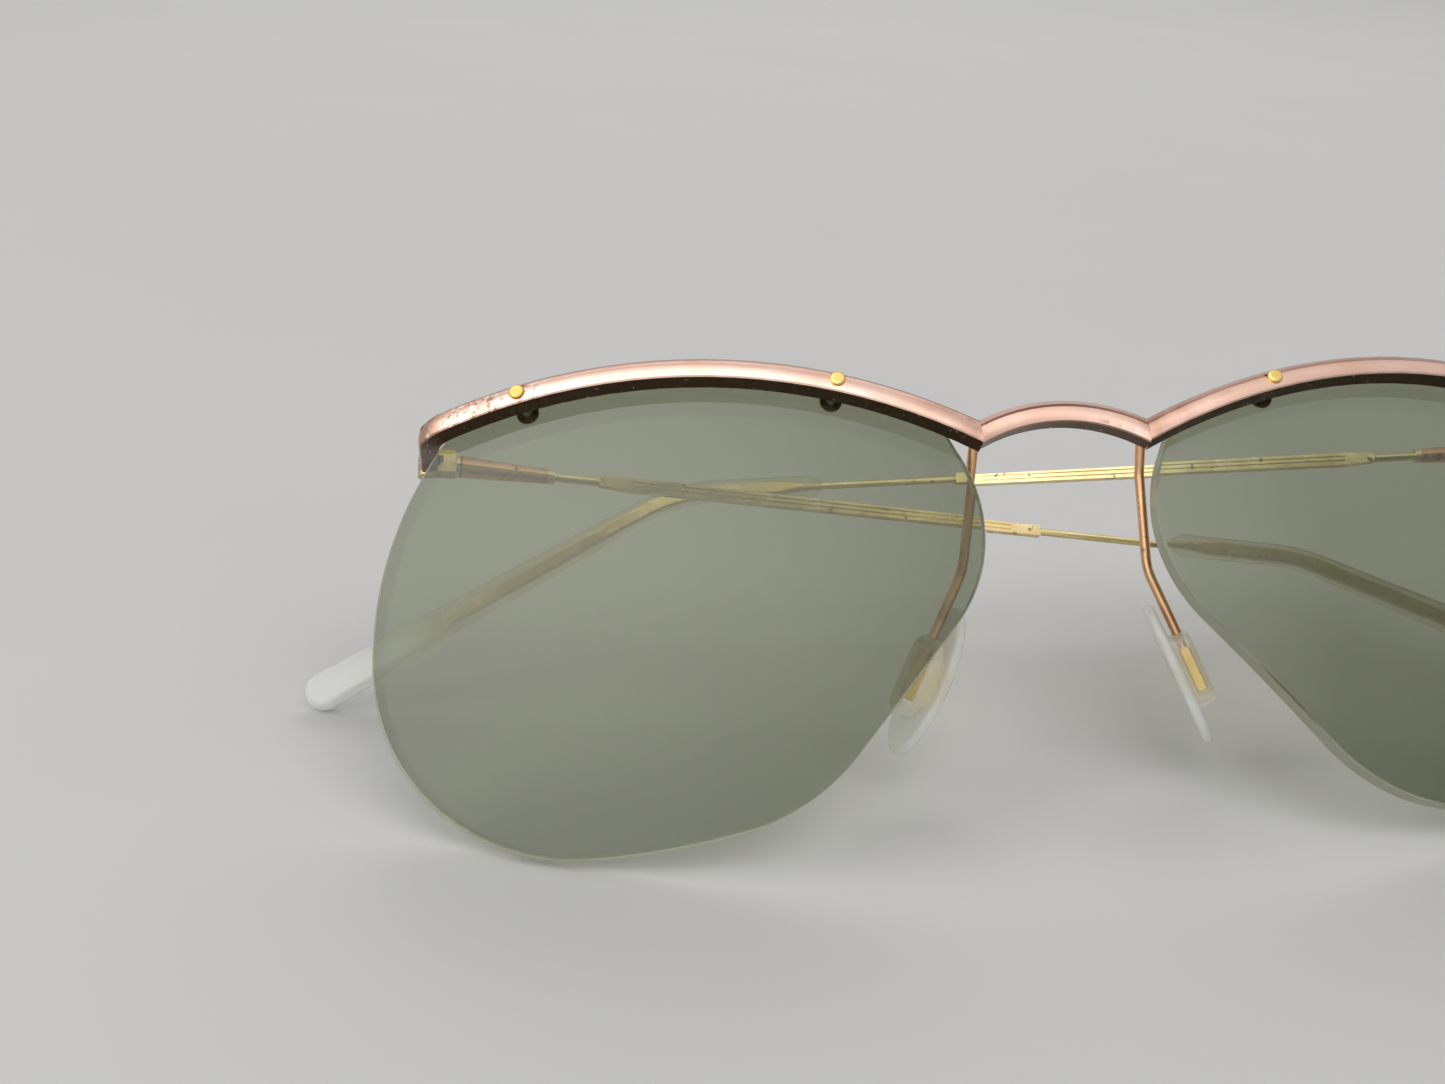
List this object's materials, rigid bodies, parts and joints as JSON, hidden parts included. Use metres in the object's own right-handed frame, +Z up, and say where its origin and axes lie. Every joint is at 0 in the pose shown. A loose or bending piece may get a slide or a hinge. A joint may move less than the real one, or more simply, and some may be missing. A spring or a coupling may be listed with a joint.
{
  "type": "folding sunglasses",
  "caption": "Vintage sunglasses with teardrop glass lenses hung from a rose-gold brow bar, wire pad arms and folding temples with clear tips, lying folded.",
  "frame": {"origin": "middle of the footprint on the surface that the folded pair lies on", "axes": "+Z up, +X to the right of someone facing the front, +Y from the front towards the folded temples"},
  "size_m": [0.1372, 0.0438, 0.0377],
  "materials": {
    "rose_gold": "polished, worn plating",
    "yellow_gold": "polished, worn plating",
    "copper_wire": "polished",
    "grey_green_glass": "clear tint",
    "clear_plastic": "clear, slightly milky",
    "washer_fibre": "matt"
  },
  "bodies": {
    "front": {"brow_bar": "rose_gold", "lens_left": "grey_green_glass", "lens_right": "grey_green_glass", "lens_rivet_inner_left": "yellow_gold", "lens_rivet_outer_left": "yellow_gold", "rivet_washers_inner_left": "washer_fibre", "rivet_washers_outer_left": "washer_fibre", "pad_arm_left": "copper_wire", "pad_insert_left": "yellow_gold", "nose_pad_left": "clear_plastic", "hinge_tongue_left": "rose_gold", "lens_rivet_inner_right": "yellow_gold", "lens_rivet_outer_right": "yellow_gold", "rivet_washers_inner_right": "washer_fibre", "rivet_washers_outer_right": "washer_fibre", "pad_arm_right": "copper_wire", "pad_insert_right": "yellow_gold", "nose_pad_right": "clear_plastic", "hinge_tongue_right": "rose_gold"},
    "temple_left": {"hinge_fork_left": "yellow_gold", "hinge_screw_left": "yellow_gold", "temple_ferrule_left": "copper_wire", "temple_wire_left": "yellow_gold", "temple_tip_left": "clear_plastic"},
    "temple_right": {"hinge_fork_right": "yellow_gold", "hinge_screw_right": "yellow_gold", "temple_ferrule_right": "copper_wire", "temple_wire_right": "yellow_gold", "temple_tip_right": "clear_plastic"}
  },
  "joints": [
    {"name": "temple_left_hinge", "type": "hinge", "parent": "front", "child": "temple_left", "pos_m": [-0.056, 0.01531, 0.02348], "axis": [0.0593, 0.6309, 0.7736], "range_deg": [0, 93]},
    {"name": "temple_right_hinge", "type": "hinge", "parent": "front", "child": "temple_right", "pos_m": [0.056, 0.01531, 0.02348], "axis": [-0.0593, -0.6309, -0.7736], "range_deg": [0, 88]}
  ]
}
